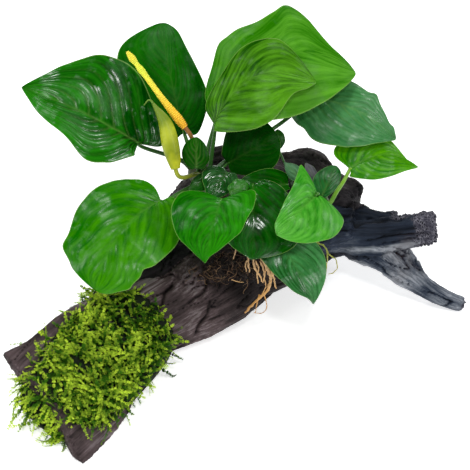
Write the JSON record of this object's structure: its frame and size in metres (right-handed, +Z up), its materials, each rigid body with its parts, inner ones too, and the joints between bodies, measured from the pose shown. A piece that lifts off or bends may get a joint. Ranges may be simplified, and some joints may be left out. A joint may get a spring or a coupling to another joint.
{
  "type": "aquarium plant on driftwood",
  "caption": "Broad-leaved anubias with long-stalked leaves and yellow flower spikes, rooted on an arched piece of dark driftwood with a moss patch; stands in an aquarium.",
  "frame": {"origin": "centre of the part's bounding box, at the level of the wood's underside", "axes": "+X to the right along the wood, +Y to the back, away from the side with the hanging roots, +Z up"},
  "size_m": [0.3182, 0.2593, 0.1741],
  "materials": {
    "driftwood": "weathered, matt, charcoal black",
    "rhizome": "rough, dark brown",
    "moss": "soft, matt, yellow-green",
    "leaf_green": "leathery, glossy, deep green",
    "leaf_bright": "leathery, glossy, bright green",
    "leaf_stem": "smooth, green",
    "spadix": "granular, yellow",
    "spathe": "waxy, yellow-green",
    "flower_stem": "smooth, green to red-brown",
    "root": "smooth, tan"
  },
  "bodies": {
    "root": {"driftwood_trunk": "driftwood", "driftwood_slab": "driftwood", "driftwood_rear_ridge": "driftwood", "driftwood_thick_arm": "driftwood", "driftwood_short_arm": "driftwood", "driftwood_thin_arm": "driftwood", "rhizome_main": "rhizome", "rhizome_branch": "rhizome", "moss_patch": "moss", "flower_open_spadix": "spadix", "flower_closed_spathe": "spathe", "flower_open_stem": "flower_stem", "flower_closed_stem": "flower_stem", "root_main": "root", "root_left": "root", "root_middle": "root", "root_right": "root", "root_curl": "root", "leaf_far_left": "leaf_green", "stem_far_left": "leaf_stem", "leaf_upper_left": "leaf_green", "stem_upper_left": "leaf_stem", "leaf_top": "leaf_bright", "stem_top": "leaf_stem", "leaf_upper_middle": "leaf_green", "stem_upper_middle": "leaf_stem", "leaf_right": "leaf_green", "stem_right": "leaf_stem", "leaf_far_right": "leaf_bright", "stem_far_right": "leaf_stem", "leaf_left": "leaf_bright", "stem_left": "leaf_stem", "leaf_front": "leaf_bright", "stem_front": "leaf_stem", "leaf_dark_middle": "leaf_green", "stem_dark_middle": "leaf_stem", "leaf_heart": "leaf_bright", "stem_heart": "leaf_stem", "leaf_low_right": "leaf_green", "stem_low_right": "leaf_stem", "leaf_round": "leaf_green", "stem_round": "leaf_stem", "leaf_oval": "leaf_green", "stem_oval": "leaf_stem", "leaf_ruffled": "leaf_green", "stem_ruffled": "leaf_stem", "leaf_small_left": "leaf_green", "stem_small_left": "leaf_stem", "leaf_middle_under": "leaf_green", "stem_middle_under": "leaf_stem", "leaf_small_grey": "leaf_green", "stem_small_grey": "leaf_stem", "leaf_small_right": "leaf_green", "stem_small_right": "leaf_stem", "leaf_tucked": "leaf_green", "stem_tucked": "leaf_stem", "leaf_behind": "leaf_green", "stem_behind": "leaf_stem", "leaf_mauve": "leaf_green", "stem_mauve": "leaf_stem"}
  },
  "joints": []
}
